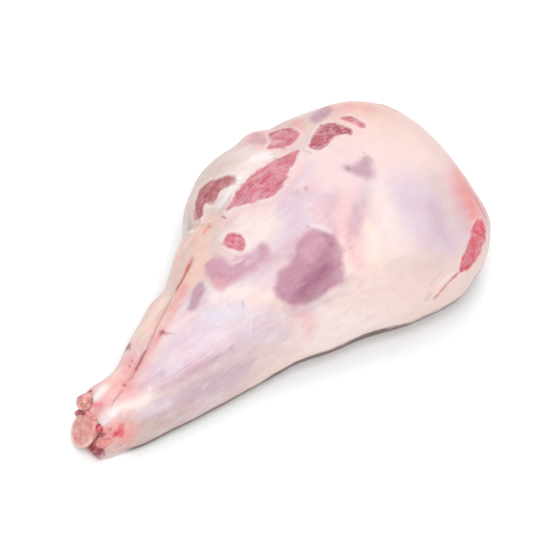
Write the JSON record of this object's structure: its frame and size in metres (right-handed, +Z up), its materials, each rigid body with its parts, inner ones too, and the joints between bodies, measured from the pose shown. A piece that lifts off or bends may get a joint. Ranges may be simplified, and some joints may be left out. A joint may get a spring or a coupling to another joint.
{
  "type": "raw leg of lamb",
  "caption": "Raw leg of lamb with the bone in and its fat and thin skin on, lying flat and tapering from a broad rump to a bared shank bone.",
  "frame": {"origin": "bottom centre of the leg's bounding box, on the surface that the leg lies on", "axes": "+X along the leg from the bared shank bone to the butt end, +Y across it to the side of the heel tendon and the back of the thigh, +Z up"},
  "size_m": [0.343, 0.2006, 0.0975],
  "materials": {
    "meat": "moist pale fat and thin lilac skin over pink meat, satin",
    "bone": "damp pinkish bone with a cream rim",
    "tendon": "smooth wet gristle"
  },
  "bodies": {
    "root": {"leg_meat": "meat", "shank_bone": "bone", "heel_tendon": "tendon"}
  },
  "joints": []
}
